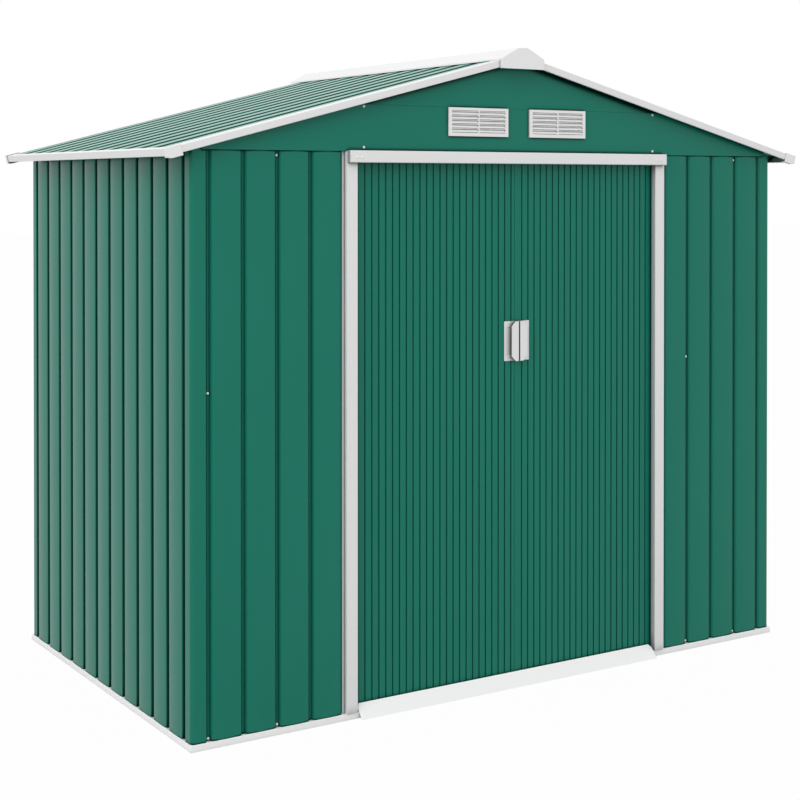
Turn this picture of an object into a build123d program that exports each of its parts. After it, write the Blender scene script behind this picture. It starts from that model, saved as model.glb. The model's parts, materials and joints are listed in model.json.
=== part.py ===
"""Garden shed of ribbed steel sheet: two sliding doors, low gable roof, white trims.

Millimetres, +Z up. X runs along the door side, from left to right as seen from outside,
and Y from the doors to the back. The origin is on the ground, under the middle of the roof.
"""

from build123d import *
from dataclasses import dataclass
from math import atan, cos, pi, sin
import os

os.makedirs("parts", exist_ok=True)


# Walls
wall_width = 2044.5
wall_depth = 1193.6
wall_height = 1527.0
wall_corner = 12.0
sheet = 1.0
rib_pitch = 100.0
front_first_groove = 51.0
front_groove_count = 5
side_first_groove = 48.5
back_first_groove = 72.25
groove_mouth = 19.0
groove_floor = 8.0
groove_depth = 9.0
rib_bow = 2.0
seat_gap = 0.3

# Base rails and ramp
base_height = 18.0
base_lip = 4.0
rail_width = 34.0
front_rail_width = 52.0
rail_gauge = 1.5
upstand_height = 30.0
ramp_reach = 22.0
ramp_height = 37.0
ramp_inset = 4.6
ramp_corner = 9.0
ramp_gauge = 1.2

# Doorway, jambs and header
jamb_left_edge = 457.3
jamb_face = 33.7
jamb_proud = 7.5
jamb_return = 11.0
header_overhang = 1.7
header_reach = 22.0
header_height = 33.0
header_lip = 12.0

# Sliding doors
door_setback = 16.5
door_thickness = 20.0
door_bottom_gap = 6.0
door_top_gap = 27.0
door_overlap = 25.0
door_gap = 5.0
meeting_shift = 19.2
door_hem = 8.0
door_rib_pitch = 22.5
door_rib_first = 17.0
door_groove_mouth = 5.0
door_groove_floor = 2.2
door_groove_depth = 3.0

# Door handles
handle_gauge = 1.5
handle_plate = 42.0
handle_standoff = 16.5
handle_flap = 25.0
handle_height = 115.0
handle_middle = 998.5
handle_corner = 14.0

# Door track, rollers, guide rail and glides
track_gauge = 1.2
track_lip_reach = 17.5
track_depth = 52.0
track_drop = 22.0
track_upturn = 3.0
roller_radius = 6.0
roller_width = 10.0
roller_side_gap = 1.5
roller_play = 0.2
axle_radius = 3.0
hanger_width = 30.0
hanger_gauge = 2.0
hanger_margin = 70.0
hanger_height = 18.0
hanger_foot = 9.0
hanger_gap = 5.2
guide_gap = 5.5
guide_height = 15.0
guide_foot = 8.0
glide_play = 1.0
glide_height = 10.0
glide_length = 30.0

# Roof
roof_slope = 0.257
roof_lift = 17.8
roof_rib_depth = 10.0
roof_rib_top = 50.0
roof_rib_flank = 10.0
roof_ridge_gap = 4.0
front_overhang = 32.0
back_overhang = 9.5
eave_overhang = 82.5
verge_height = 21.0
verge_flange = 44.0
verge_hem = 5.0
eave_depth = 19.0
eave_flange = 20.0
eave_hem = 8.0

# Corner caps of the eaves
cap_gauge = 2.0
cap_length = 42.0
cap_return = 14.0
cap_drop = 7.5
cap_corner_run = 12.0
cap_corner_rise = 4.0

# Ridge
ridge_top_half = 15.4
ridge_half = 74.0
ridge_rise = 18.4
ridge_shoulder_drop = 31.0
ridge_end_reach = 13.0
ridge_end_gauge = 1.5
ridge_end_drop = 60.5
beam_half = 38.0
beam_depth = 36.0
beam_gauge = 1.5

# Gables and their vents
gable_proud = 3.5
gable_lap = 2.0
gable_inset = 30.0
gable_foot = 30.0
gable_flange = 12.0
vent_width = 206.0
vent_height = 81.0
vent_gap = 77.0
vent_shift = 10.0
vent_lift = 44.0
vent_proud = 6.0
vent_border = 10.5
vent_mullion = 4.5
vent_slots = 6
vent_slot_pitch = 12.3
vent_slot_height = 3.2
vent_slat_gauge = 2.0

# Wall plates
plate_drop = 45.0
plate_flange = 34.0
plate_start = 54.0

# Places worked out from the sizes above
half_width = wall_width / 2
roof_half_depth = (front_overhang + wall_depth + back_overhang) / 2
front_y = -roof_half_depth + front_overhang
back_y = front_y + wall_depth
wall_mid_y = (front_y + back_y) / 2
wall_top = base_height + wall_height
groove_back = groove_depth + sheet
pitch_angle = atan(roof_slope)
slope_cos = cos(pitch_angle)
slope_sin = sin(pitch_angle)
ridge_z = wall_top + roof_lift + half_width * roof_slope
valley_under = roof_rib_depth + sheet
eave_run = (half_width + eave_overhang) / slope_cos

jamb_outer = -half_width + jamb_left_edge
jamb_inner = jamb_outer + jamb_face
door_front_y = front_y + door_setback
door_back_y = door_front_y + door_thickness
door_bottom = base_height + door_bottom_gap
door_top = wall_top - door_top_gap
guide_face_y = door_back_y + guide_gap
track_back_y = front_y + track_depth
track_bottom = wall_top - track_drop
track_lip_y = track_back_y - track_lip_reach
roller_z = track_bottom + track_gauge + roller_play + roller_radius


@dataclass(frozen=True)
class Ribs:
    """Pressed grooves of a sheet, and how far the ribs between them bow outwards."""

    mouth: float
    floor: float
    depth: float
    bow: float = 0.0

    def widening(self, gauge):
        """How much wider half a groove is on the inside of the sheet."""
        run = (self.mouth - self.floor) / 2
        flank = (run**2 + self.depth**2) ** 0.5
        return gauge * (flank - run) / self.depth


wall_ribs = Ribs(groove_mouth, groove_floor, groove_depth, rib_bow)
door_ribs = Ribs(door_groove_mouth, door_groove_floor, door_groove_depth)


def folded(points, gauge):
    """Closed outline of a folded sheet: metal lies to the left of the points' path."""
    path = [Vector(*point) for point in points]
    runs = [(after - before).normalized() for before, after in zip(path, path[1:])]
    normals = [Vector(-run.Y, run.X) for run in runs]
    pairs = zip([normals[0]] + normals, normals + [normals[-1]])
    inner = [
        point + (first + second) * (gauge / (1 + first.dot(second)))
        for point, (first, second) in zip(path, pairs)
    ]
    return path + inner[::-1]


def ribbed_side(ribs, grooves, start, end, widening, floor_runs_on=False):
    """One face of a ribbed sheet, drawn in the open BuildLine from start to end.

    With floor_runs_on, the last groove's floor goes on flat to the end of the sheet.
    """
    level = start[1]
    here = start
    for number, groove in enumerate(grooves):
        mouth = ribs.mouth / 2 + widening
        floor = ribs.floor / 2 + widening
        rib_end = (groove - mouth, level)
        if number and ribs.bow:
            crown = ((here[0] + rib_end[0]) / 2, level - ribs.bow)
            ThreePointArc(here, crown, rib_end)
        else:
            Line(here, rib_end)
        floor_start = (groove - floor, level + ribs.depth)
        if floor_runs_on and groove == grooves[-1]:
            Polyline(rib_end, floor_start, end)
            return
        here = (groove + mouth, level)
        Polyline(rib_end, floor_start, (groove + floor, level + ribs.depth), here)
    Line(here, end)


def wall_end(x, inward):
    """Half of a rounded corner at the end of a wall's plan, in the open BuildLine.

    It starts where the wall's straight run stops, at x, and its edge is the mitre with the
    next wall. Inward is 1 where the wall runs to higher x from here, and -1 where it comes
    from lower x.
    """
    turn = wall_corner * (1 - cos(pi / 4))
    edge = [(x + inward * turn, turn)]
    edge.append((x + inward * (turn + sheet * cos(pi / 4)), turn + sheet * cos(pi / 4)))
    for level, point in zip((0, sheet), edge):
        straight = (x + inward * wall_corner, level)
        TangentArc(straight, point, tangent=(-inward, 0))
    Line(*edge)


def draw_wall(length, grooves):
    """Plan of a whole ribbed wall, with half a rounded corner at each end."""
    for level, widening in ((0, 0), (sheet, wall_ribs.widening(sheet))):
        ribbed_side(
            wall_ribs, grooves, (wall_corner, level), (length - wall_corner, level), widening
        )
    wall_end(0, 1)
    wall_end(length, -1)


def wall_plane(x, y, heading):
    """Plan plane of a wall: local X along it, local Y to the inside of the shed."""
    return Plane(origin=(x, y, base_height), x_dir=heading, z_dir=(0, 0, 1))


def spaced(first, pitch, length):
    """Positions from first on, one pitch apart, that stay inside length."""
    count = int((length - first) // pitch) + 1
    return [first + pitch * number for number in range(count)]


def finish(name, part):
    """Name a finished piece and write it out."""
    part.label = name
    export_step(part, f"parts/{name}.step")


def finish_pair(part, left_name, right_name):
    """Write a piece of the right half, and its mirror image on the left."""
    finish(right_name, part)
    finish(left_name, mirror(part, about=Plane.YZ))


# Base rails: open channels, mitred at the corners, the outer lip proud of the walls
def base_rail(start, heading, length, width, upstand=0.0):
    """One rail along a wall. An upstand of that height stands behind the wall's grooves."""
    side = Plane(origin=(*start, 0), x_dir=Vector(0, 0, 1).cross(Vector(*heading)), z_dir=heading)
    channel = [(width, 0), (-base_lip, 0), (-base_lip, base_height), (width, base_height)]
    behind = groove_back + seat_gap
    with BuildPart() as rail:
        with BuildSketch(side.offset(-base_lip)):
            with BuildLine():
                Polyline(*folded(channel[::-1], rail_gauge), close=True)
            make_face()
            if upstand:
                with Locations((behind, base_height - rail_gauge / 2)):
                    Rectangle(
                        rail_gauge,
                        upstand + rail_gauge / 2,
                        align=(Align.MIN, Align.MIN),
                    )
        extrude(amount=length + 2 * base_lip)
        inward = Vector(0, 0, 1).cross(Vector(*heading))
        along = Vector(*heading)
        for end_point, away in (
            (Vector(*start), along),
            (Vector(*start) + along * length, -along),
        ):
            cut = Plane(origin=end_point, z_dir=away - inward)
            split(bisect_by=cut, keep=Keep.TOP)
    return rail.part


left_x, right_x = -half_width, half_width
finish("base_rail_front", base_rail((left_x, front_y), (1, 0), wall_width, front_rail_width))
finish("base_rail_right", base_rail((right_x, front_y), (0, 1), wall_depth, rail_width, upstand_height))
finish("base_rail_back", base_rail((right_x, back_y), (-1, 0), wall_width, rail_width, upstand_height))
finish("base_rail_left", base_rail((left_x, back_y), (0, -1), wall_depth, rail_width, upstand_height))


# Ramp: a folded plate from the ground up to the doors, its upper corners cut off
ramp_half = -jamb_inner - ramp_inset
ramp_back_y = front_y + jamb_return
ramp_section = [
    (ramp_back_y, base_height),
    (ramp_back_y, ramp_height),
    (front_y - ramp_reach, 0),
]
with BuildPart() as door_ramp:
    with BuildSketch(Plane.YZ.offset(-ramp_half)):
        with BuildLine():
            Polyline(*folded(ramp_section, ramp_gauge), close=True)
        make_face()
        with BuildLine():
            Polyline(
                (front_y - ramp_reach - ramp_gauge, 0),
                (ramp_back_y, 0),
                (ramp_back_y, -ramp_height),
                (front_y - ramp_reach - ramp_gauge, -ramp_height),
                close=True,
            )
        make_face(mode=Mode.SUBTRACT)
    extrude(amount=2 * ramp_half)
    with BuildSketch(Plane.XZ.offset(-ramp_back_y)):
        for side in (-1, 1):
            with BuildLine():
                corner_x, corner_z = side * ramp_half, ramp_height
                Polyline(
                    (corner_x, corner_z),
                    (corner_x - side * ramp_corner, corner_z),
                    (corner_x, corner_z - ramp_corner),
                    close=True,
                )
            make_face()
    extrude(amount=ramp_reach + jamb_return, mode=Mode.SUBTRACT)
finish("door_ramp", door_ramp.part)


# Front wall: one ribbed sheet each side of the doorway, its edge pressed flat for the jamb
front_grooves = [front_first_groove + rib_pitch * number for number in range(front_groove_count)]
flat_edge = jamb_left_edge + jamb_face - rail_gauge
with BuildPart() as front_wall_left:
    with BuildSketch(wall_plane(left_x, front_y, (1, 0, 0))):
        with BuildLine():
            for level, widening in ((0, 0), (sheet, wall_ribs.widening(sheet))):
                edge = (flat_edge, level + groove_depth)
                straight = (wall_corner, level)
                ribbed_side(wall_ribs, front_grooves, straight, edge, widening, True)
            wall_end(0, 1)
            Line((flat_edge, groove_depth), (flat_edge, groove_back))
        make_face()
    extrude(amount=wall_height)
finish("front_wall_left", front_wall_left.part)
finish("front_wall_right", mirror(front_wall_left.part, about=Plane.YZ))


# Side and back walls: one ribbed sheet each
side_grooves = spaced(side_first_groove, rib_pitch, wall_depth - groove_mouth)
with BuildPart() as right_wall:
    with BuildSketch(wall_plane(right_x, front_y, (0, 1, 0))):
        with BuildLine():
            draw_wall(wall_depth, side_grooves)
        make_face()
    extrude(amount=wall_height)
finish_pair(right_wall.part, "left_wall", "right_wall")

back_grooves = spaced(back_first_groove, rib_pitch, wall_width - groove_mouth)
with BuildPart() as back_wall:
    with BuildSketch(wall_plane(right_x, back_y, (-1, 0, 0))):
        with BuildLine():
            draw_wall(wall_width, back_grooves)
        make_face()
    extrude(amount=wall_height)
finish("back_wall", back_wall.part)


# Jambs: white channels that clasp the flat edges of the front sheets
jamb_section = [
    (jamb_outer, front_y + groove_depth),
    (jamb_outer, front_y - jamb_proud),
    (jamb_inner, front_y - jamb_proud),
    (jamb_inner, front_y + jamb_return),
]
with BuildPart() as jamb_left:
    with BuildSketch(Plane.XY.offset(base_height)):
        with BuildLine():
            Polyline(*folded(jamb_section, sheet), close=True)
        make_face()
    extrude(amount=wall_height - gable_lap - seat_gap)
finish("jamb_left", jamb_left.part)
finish("jamb_right", mirror(jamb_left.part, about=Plane.YZ))


# Header: a channel with closed ends that hides the door track
header_half = -jamb_outer - header_overhang
header_front_y = front_y - header_reach
header_bottom = wall_top - header_height
header_section = [
    (front_y - gable_proud, wall_top),
    (header_front_y, wall_top),
    (header_front_y, header_bottom),
    (header_front_y + header_lip, header_bottom),
]
with BuildPart() as door_header:
    with BuildSketch(Plane.YZ.offset(-header_half)):
        with BuildLine():
            Polyline(*folded(header_section, sheet), close=True)
        make_face()
    extrude(amount=2 * header_half)
    with BuildSketch(Plane.YZ.offset(-header_half)):
        with Locations((header_front_y, header_bottom)):
            Rectangle(header_reach - jamb_proud, header_height, align=(Align.MIN, Align.MIN))
    extrude(amount=sheet)
    mirror(about=Plane.YZ)
finish("door_header", door_header.part)


# Door track: a hooked channel under the gable, from wall to wall
track_half = half_width - groove_back - seat_gap
track_section = [
    (track_lip_y, track_bottom + track_gauge + track_upturn),
    (track_lip_y, track_bottom),
    (track_back_y, track_bottom),
    (track_back_y, wall_top),
    (front_y + groove_back + seat_gap, wall_top),
]
with BuildPart() as door_track:
    with BuildSketch(Plane.YZ.offset(-track_half)):
        with BuildLine():
            Polyline(*folded(track_section, track_gauge), close=True)
        make_face()
    extrude(amount=2 * track_half)
finish("door_track", door_track.part)


# Guide rail: a low angle on the front base rail, behind the doors
guide_half = half_width - groove_back - seat_gap - rail_gauge - seat_gap
guide_section = [
    (guide_face_y, base_height + guide_height),
    (guide_face_y, base_height),
    (guide_face_y + guide_foot, base_height),
]
with BuildPart() as door_guide_rail:
    with BuildSketch(Plane.YZ.offset(-guide_half)):
        with BuildLine():
            Polyline(*folded(guide_section, track_gauge), close=True)
        make_face()
    extrude(amount=2 * guide_half)
finish("door_guide_rail", door_guide_rail.part)


# Sliding doors: ribbed pans that hang from two rollers each
def door_leaf(near_x, far_x):
    """A door pan between its meeting edge and its far edge."""
    low_x, high_x = sorted((near_x, far_x))
    toward_far = 1 if far_x > near_x else -1
    width = high_x - low_x
    steps = spaced(door_rib_first, door_rib_pitch, width - door_rib_first / 2)
    grooves = sorted(near_x + toward_far * step - low_x for step in steps)
    side_lip = (low_x + door_hem, high_x - door_hem)
    with BuildPart() as leaf:
        with BuildSketch(Plane((low_x, door_front_y, door_bottom))):
            with BuildLine():
                widening = door_ribs.widening(sheet)
                ribbed_side(door_ribs, grooves, (0, 0), (width, 0), 0)
                inner_start, inner_end = (sheet, sheet), (width - sheet, sheet)
                ribbed_side(door_ribs, grooves, inner_start, inner_end, widening)
                for edge_x, side in ((0, 1), (width, -1)):
                    Polyline(
                        (edge_x, 0),
                        (edge_x, door_thickness),
                        (edge_x + side * door_hem, door_thickness),
                        (edge_x + side * door_hem, door_thickness - sheet),
                        (edge_x + side * sheet, door_thickness - sheet),
                        (edge_x + side * sheet, sheet),
                    )
            make_face()
        extrude(amount=door_top - door_bottom)
        inner_y = door_front_y + door_groove_depth + sheet / 2
        for level in (door_bottom, door_top - sheet):
            with BuildSketch(Plane((low_x, inner_y, level))):
                Rectangle(width, door_back_y - inner_y, align=(Align.MIN, Align.MIN))
            extrude(amount=sheet)
    return leaf.part


def door_handle(edge_x, side):
    """A bent plate on the meeting stile: plate, stand-off and turned flap."""
    section = [
        (edge_x + side * handle_plate, door_front_y),
        (edge_x, door_front_y),
        (edge_x, door_front_y - handle_standoff),
        (edge_x + side * handle_flap, door_front_y - handle_standoff),
    ]
    path = section if side > 0 else section[::-1]
    with BuildPart() as handle:
        with BuildSketch(Plane.XY.offset(handle_middle - handle_height / 2)):
            with BuildLine():
                Polyline(*folded(path, handle_gauge), close=True)
            make_face()
        extrude(amount=handle_height)
        ends = handle.edges().filter_by(Axis.Y).group_by(Axis.X)
        flap_end = ends[-2] if side > 0 else ends[1]
        chamfer(flap_end, length=handle_corner)
    return handle.part


def door_runners(low_x, high_x):
    """Two hangers with rollers in the track, and two glides against the guide rail."""
    strap_y = track_lip_y - hanger_gap - hanger_gauge
    roller_front_y = track_lip_y + roller_side_gap
    places = (low_x + hanger_margin, high_x - hanger_margin)
    with BuildPart() as runners:
        for x in places:
            with Locations((x, strap_y, door_top)):
                Box(
                    hanger_width,
                    hanger_gauge,
                    hanger_height,
                    align=(Align.CENTER, Align.MIN, Align.MIN),
                )
            with Locations((x, strap_y + hanger_gauge, door_top)):
                Box(
                    hanger_width,
                    hanger_foot,
                    hanger_gauge,
                    align=(Align.CENTER, Align.MAX, Align.MIN),
                )
            axle_plane = Plane(origin=(x, strap_y, roller_z), z_dir=(0, 1, 0))
            with BuildSketch(axle_plane):
                Circle(axle_radius)
            extrude(amount=roller_front_y + roller_width - strap_y)
            with BuildSketch(axle_plane.offset(roller_front_y - strap_y)):
                Circle(roller_radius)
            extrude(amount=roller_width)
            with Locations((x, door_back_y, door_bottom)):
                Box(
                    glide_length,
                    guide_gap - glide_play,
                    glide_height,
                    align=(Align.CENTER, Align.MIN, Align.MIN),
                )
    return runners.part


for name, side in (("left", -1), ("right", 1)):
    meeting_edge = meeting_shift + side * door_gap / 2
    far_edge = side * (-jamb_inner + door_overlap)
    finish(f"door_{name}", door_leaf(meeting_edge, far_edge))
    finish(f"handle_{name}", door_handle(meeting_edge, side))
    finish(f"door_{name}_runners", door_runners(*sorted((meeting_edge, far_edge))))


# Roof: each slope has its own planes, measured from the ridge line on top of the ribs
down_slope = Vector(slope_cos, 0, -slope_sin)
ridge_point = (0, 0, ridge_z)
across_slope = Plane(origin=ridge_point, x_dir=(0, 1, 0), z_dir=down_slope)
along_roof = Plane(origin=ridge_point, x_dir=down_slope, z_dir=(0, -1, 0))

roof_rib_foot = roof_rib_top / 2 + roof_rib_flank
flank_length = (roof_rib_flank**2 + roof_rib_depth**2) ** 0.5
roof_bend = sheet * (flank_length - roof_rib_flank) / roof_rib_depth
sheet_half_depth = roof_half_depth - sheet - seat_gap
roof_rib_count = int(2 * (sheet_half_depth - roof_rib_foot) // rib_pitch) + 1
rib_places = [rib_pitch * (number - (roof_rib_count - 1) / 2) for number in range(roof_rib_count)]
roof_upper = [(-sheet_half_depth, -roof_rib_depth)]
roof_lower = [(-sheet_half_depth, -valley_under)]
for place in rib_places:
    for points, level, bend in ((roof_upper, 0, 0), (roof_lower, -sheet, roof_bend)):
        foot, top = roof_rib_foot - bend, roof_rib_top / 2 - bend
        points += [
            (place - foot, level - roof_rib_depth),
            (place - top, level),
            (place + top, level),
            (place + foot, level - roof_rib_depth),
        ]
roof_upper.append((sheet_half_depth, -roof_rib_depth))
roof_lower.append((sheet_half_depth, -valley_under))
with BuildPart() as roof_right:
    with BuildSketch(across_slope.offset(roof_ridge_gap)):
        with BuildLine():
            Polyline(*roof_upper, *roof_lower[::-1], close=True)
        make_face()
    extrude(amount=eave_run - sheet - seat_gap - roof_ridge_gap)
finish_pair(roof_right.part, "roof_left", "roof_right")


# Verge trims along the four sloping edges
verge_drop = verge_height * slope_cos - sheet
verge_section = [
    (-roof_half_depth + verge_flange, sheet),
    (-roof_half_depth, sheet),
    (-roof_half_depth, -verge_drop),
    (-roof_half_depth + verge_hem, -verge_drop),
]
with BuildPart() as verge_front_right:
    with BuildSketch(across_slope.offset(-verge_height)):
        with BuildLine():
            Polyline(*folded(verge_section, sheet), close=True)
        make_face()
    extrude(amount=verge_height + eave_run - sheet)
    split(bisect_by=Plane.YZ, keep=Keep.TOP)
finish_pair(verge_front_right.part, "verge_front_left", "verge_front_right")
finish_pair(
    mirror(verge_front_right.part, about=Plane.XZ), "verge_back_left", "verge_back_right"
)


# Eave trims along both gutter edges, square to the slope: face, upper flange and lower hem
with BuildPart() as eave_trim_right:
    for width, height, top, half_length in (
        (sheet, eave_depth + sheet, sheet, roof_half_depth),
        (eave_flange, sheet, sheet, roof_half_depth - verge_flange - seat_gap),
        (eave_hem, sheet, sheet - eave_depth, roof_half_depth - verge_hem - seat_gap),
    ):
        with BuildSketch(along_roof):
            with Locations((eave_run, top)):
                Rectangle(width, height, align=(Align.MAX, Align.MAX))
        extrude(amount=half_length, both=True)
finish_pair(eave_trim_right.part, "eave_trim_left", "eave_trim_right")


# Moulded caps over the four corners of the eaves
cap_outer_run = eave_run + seat_gap + cap_gauge
cap_top = sheet + seat_gap + cap_gauge
cap_bottom = -eave_depth - cap_drop
cap_front = roof_half_depth + seat_gap + cap_gauge
with BuildPart() as eave_cap_front_right:
    with BuildSketch(along_roof.offset(cap_front)):
        with BuildLine():
            Polyline(
                (eave_run - cap_length, cap_top),
                (cap_outer_run, cap_top),
                (cap_outer_run, cap_bottom + cap_corner_rise),
                (cap_outer_run - cap_corner_run, cap_bottom),
                (eave_run - cap_length, cap_bottom),
                close=True,
            )
        make_face()
    extrude(amount=-cap_gauge - seat_gap - cap_return)
    with BuildSketch(along_roof.offset(cap_front - cap_gauge)):
        with BuildLine():
            Polyline(
                (eave_run - cap_length, cap_top - cap_gauge),
                (eave_run + seat_gap, cap_top - cap_gauge),
                (eave_run + seat_gap, cap_bottom + cap_gauge),
                (eave_run - cap_length, cap_bottom + cap_gauge),
                close=True,
            )
        make_face()
    extrude(amount=-seat_gap - cap_return, mode=Mode.SUBTRACT)
finish_pair(eave_cap_front_right.part, "eave_cap_front_left", "eave_cap_front_right")
finish_pair(
    mirror(eave_cap_front_right.part, about=Plane.XZ), "eave_cap_back_left", "eave_cap_back_right"
)


# Ridge cap with a plate at each end
ridge_top = ridge_z + ridge_rise
ridge_shoulder = ridge_top - ridge_shoulder_drop
ridge_lip = ridge_z + (sheet + seat_gap) / slope_cos - ridge_half * roof_slope
ridge_outline = [
    (ridge_half, ridge_lip),
    (ridge_half, ridge_shoulder),
    (ridge_top_half, ridge_top),
    (-ridge_top_half, ridge_top),
    (-ridge_half, ridge_shoulder),
    (-ridge_half, ridge_lip),
]
cap_half_depth = roof_half_depth + ridge_end_reach - ridge_end_gauge
with BuildPart() as ridge_cap:
    with BuildSketch(Plane.XZ):
        with BuildLine():
            Polyline(*folded(ridge_outline, sheet), close=True)
        make_face()
    extrude(amount=cap_half_depth, both=True)
finish("ridge_cap", ridge_cap.part)

ridge_end_bottom = ridge_top - ridge_end_drop
end_return = ridge_lip - seat_gap - ridge_end_bottom
with BuildPart() as ridge_end_front:
    with BuildSketch(Plane.XZ.offset(cap_half_depth)):
        with BuildLine():
            Polyline(
                (ridge_half, ridge_end_bottom),
                *ridge_outline[1:-1],
                (-ridge_half, ridge_end_bottom),
                close=True,
            )
        make_face()
    extrude(amount=ridge_end_gauge)
    with BuildSketch(Plane.XZ.offset(cap_half_depth)):
        for side, edge in ((-1, Align.MIN), (1, Align.MAX)):
            with Locations((side * ridge_half, ridge_end_bottom)):
                Rectangle(ridge_end_gauge, end_return, align=(edge, Align.MIN))
    extrude(amount=-(cap_half_depth - roof_half_depth - seat_gap))
finish("ridge_end_front", ridge_end_front.part)
finish("ridge_end_back", mirror(ridge_end_front.part, about=Plane.XZ))


# Gables: plain sheets with a foot on the walls, a flange under the roof and two vent holes
def under_roof(x, drop=0.0):
    """Height of the underside of the roof's valleys at x, less a drop square to it."""
    return ridge_z - abs(x) * roof_slope - (valley_under + drop) / slope_cos


gable_half = half_width - gable_inset
gable_bottom = wall_top - gable_lap
gable_outer_y = front_y - gable_proud
vent_middle_z = wall_top + vent_lift + vent_height / 2
vent_opening_width = vent_width - 2 * vent_border
vent_opening_height = (vent_slots - 1) * vent_slot_pitch + vent_slot_height
vent_places = [vent_shift + side * (vent_width + vent_gap) / 2 for side in (-1, 1)]
with BuildPart() as front_gable:
    with BuildSketch(Plane.XZ.offset(-gable_outer_y)):
        with BuildLine():
            Polyline(
                (-gable_half, gable_bottom),
                (-gable_half, under_roof(gable_half)),
                (0, under_roof(0)),
                (gable_half, under_roof(gable_half)),
                (gable_half, gable_bottom),
                close=True,
            )
        make_face()
        with Locations([(x, vent_middle_z) for x in vent_places]):
            Rectangle(vent_opening_width, vent_opening_height, mode=Mode.SUBTRACT)
    extrude(amount=-sheet)
    with BuildSketch(Plane.XZ.offset(-gable_outer_y)):
        with BuildLine():
            Polyline(
                (-gable_half, under_roof(gable_half)),
                (0, under_roof(0)),
                (gable_half, under_roof(gable_half)),
                (gable_half, under_roof(gable_half, sheet)),
                (0, under_roof(0, sheet)),
                (-gable_half, under_roof(gable_half, sheet)),
                close=True,
            )
        make_face()
    extrude(amount=-gable_proud - gable_flange)
    with BuildSketch(Plane.XY.offset(wall_top)):
        with Locations((0, gable_outer_y)):
            Rectangle(2 * gable_half, gable_proud + gable_foot, align=(Align.CENTER, Align.MIN))
    extrude(amount=sheet)
wall_middle = Plane.XZ.offset(-wall_mid_y)
finish("front_gable", front_gable.part)
finish("back_gable", mirror(front_gable.part, about=wall_middle))


# Vents: moulded frames with a mullion and sloping slats
def vent(middle_x):
    """One louvred vent on the outside of the front gable."""
    front = gable_outer_y - vent_proud
    opening_top = vent_middle_z + vent_opening_height / 2
    slat_drop = vent_slot_pitch - vent_slot_height - vent_slat_gauge
    half_opening = (vent_opening_width - vent_mullion) / 2
    opening_places = [middle_x + side * (half_opening + vent_mullion) / 2 for side in (-1, 1)]
    with BuildPart() as louvre:
        with BuildSketch(Plane.XZ.offset(-gable_outer_y)):
            with Locations((middle_x, vent_middle_z)):
                Rectangle(vent_width, vent_height)
            with Locations([(x, vent_middle_z) for x in opening_places]):
                Rectangle(half_opening, vent_opening_height, mode=Mode.SUBTRACT)
        extrude(amount=vent_proud)
        with BuildSketch(Plane.YZ.offset(middle_x - vent_opening_width / 2)):
            for number in range(vent_slots - 1):
                top = opening_top - vent_slot_height - vent_slot_pitch * number
                with BuildLine():
                    Polyline(
                        (gable_outer_y, top),
                        (gable_outer_y, top - vent_slat_gauge),
                        (front, top - vent_slat_gauge - slat_drop),
                        (front, top - slat_drop),
                        close=True,
                    )
                make_face()
        extrude(amount=vent_opening_width)
    return louvre.part


for name, middle_x in zip(("left", "right"), vent_places):
    front_vent = vent(middle_x)
    finish(f"front_vent_{name}", front_vent)
    finish(f"back_vent_{name}", mirror(front_vent, about=wall_middle))


# Wall plates: folded strips at the wall tops that carry the roof and the back gable
plate_x = half_width - groove_back - seat_gap
plate_inner_x = plate_x - plate_flange
plate_section = [
    (plate_x, wall_top - plate_drop),
    (plate_x, under_roof(plate_x)),
    (plate_inner_x, under_roof(plate_inner_x)),
]
plate_front_y = front_y + plate_start
plate_back_y = back_y - gable_flange
with BuildPart() as wall_plate_right:
    with BuildSketch(Plane.XZ.offset(-plate_front_y)):
        with BuildLine():
            Polyline(*folded(plate_section, rail_gauge), close=True)
        make_face()
    extrude(amount=-(plate_back_y - plate_front_y))
finish_pair(wall_plate_right.part, "wall_plate_left", "wall_plate_right")

back_plate_y = back_y - groove_back - seat_gap
back_plate_section = [
    (back_plate_y - plate_flange, wall_top),
    (back_plate_y, wall_top),
    (back_plate_y, wall_top - plate_drop),
]
back_plate_half = plate_x - rail_gauge - seat_gap
with BuildPart() as wall_plate_back:
    with BuildSketch(Plane.YZ.offset(-back_plate_half)):
        with BuildLine():
            Polyline(*folded(back_plate_section[::-1], rail_gauge), close=True)
        make_face()
    extrude(amount=2 * back_plate_half)
finish("wall_plate_back", wall_plate_back.part)


# Ridge beam: a peaked channel under the roof sheets, between the gables
beam_section = [
    (beam_half, under_roof(beam_half) - beam_depth),
    (beam_half, under_roof(beam_half)),
    (0, under_roof(0)),
    (-beam_half, under_roof(beam_half)),
    (-beam_half, under_roof(beam_half) - beam_depth),
]
beam_front_y = front_y + gable_flange
beam_back_y = back_y - gable_flange
with BuildPart() as ridge_beam:
    with BuildSketch(Plane.XZ.offset(-beam_front_y)):
        with BuildLine():
            Polyline(*folded(beam_section, beam_gauge), close=True)
        make_face()
    extrude(amount=-(beam_back_y - beam_front_y))
finish("ridge_beam", ridge_beam.part)
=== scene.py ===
"""Dresses the metal storage shed: sheet finishes, folded trims, screws, studio and camera.

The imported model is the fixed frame. All sizes are metres in its axes: X along the doors,
Y from the doors to the back, Z up from the ground.
"""

import json
import logging
import math
from collections.abc import Iterable, Mapping, Sequence
from dataclasses import dataclass, field, replace
from enum import Enum
from typing import Any

import bmesh
import bpy
from mathutils import Matrix, Vector

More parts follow.
